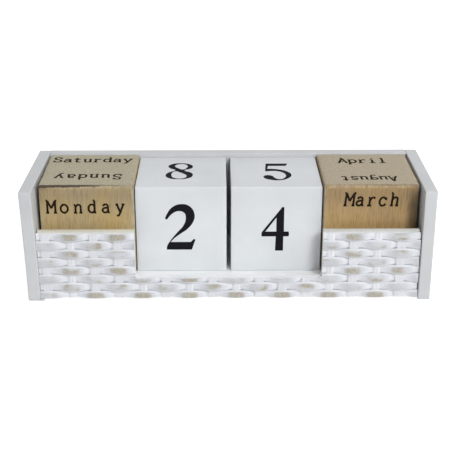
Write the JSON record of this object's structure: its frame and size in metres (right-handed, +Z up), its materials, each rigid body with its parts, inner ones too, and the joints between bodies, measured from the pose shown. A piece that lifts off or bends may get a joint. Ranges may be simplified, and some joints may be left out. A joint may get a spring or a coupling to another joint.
{
  "type": "desk calendar with drawer",
  "caption": "Low open case holding loose perpetual-calendar blocks in a row, with a shallow drawer below whose U-shaped front is woven in flat cane.",
  "frame": {"origin": "middle of the footprint, on the surface that the case stands on", "axes": "+X to the right seen from the front, +Y to the back, +Z up; the woven drawer front faces -Y"},
  "size_m": [0.3, 0.095, 0.0865],
  "materials": {
    "case_paint": "satin off-white paint on fibreboard",
    "nail_steel": "plain wire nails",
    "whitewashed_cane": "matt whitewash, worn through to tan at the crowns",
    "front_board_paint": "matt cream paint",
    "drawer_wood": "sanded, unfinished softwood and plywood",
    "aged_wood": "waxed, worn natural wood",
    "cube_paint": "smooth satin off-white paint"
  },
  "bodies": {
    "case": {"left_side_panel": "case_paint", "right_side_panel": "case_paint", "back_panel": "case_paint", "tray_floor": "case_paint", "left_runner": "case_paint", "right_runner": "case_paint", "case_nails": "nail_steel"},
    "drawer": {"drawer_front_board": "front_board_paint", "weave_stakes": "whitewashed_cane", "weave_row_1": "whitewashed_cane", "weave_row_2": "whitewashed_cane", "weave_row_3": "whitewashed_cane", "weave_row_4": "whitewashed_cane", "weave_row_5": "whitewashed_cane", "weave_row_6": "whitewashed_cane", "weave_row_7": "whitewashed_cane", "weave_row_8": "whitewashed_cane", "drawer_bottom": "drawer_wood", "drawer_left_wall": "drawer_wood", "drawer_right_wall": "drawer_wood", "drawer_back_wall": "drawer_wood"},
    "weekday_block": {"weekday_block": "aged_wood"},
    "tens_cube": {"tens_cube": "cube_paint"},
    "units_cube": {"units_cube": "cube_paint"},
    "month_block": {"month_block": "aged_wood"}
  },
  "joints": [
    {"name": "drawer_slide", "type": "slide", "parent": "case", "child": "drawer", "axis": [0, -1, 0], "range_m": [0, 0.06]},
    {"name": "weekday_block_lift", "type": "slide", "parent": "case", "child": "weekday_block", "axis": [0, 0, 1], "range_m": [0, 0.08]},
    {"name": "tens_cube_lift", "type": "slide", "parent": "case", "child": "tens_cube", "axis": [0, 0, 1], "range_m": [0, 0.08]},
    {"name": "units_cube_lift", "type": "slide", "parent": "case", "child": "units_cube", "axis": [0, 0, 1], "range_m": [0, 0.08]},
    {"name": "month_block_lift", "type": "slide", "parent": "case", "child": "month_block", "axis": [0, 0, 1], "range_m": [0, 0.08]}
  ]
}
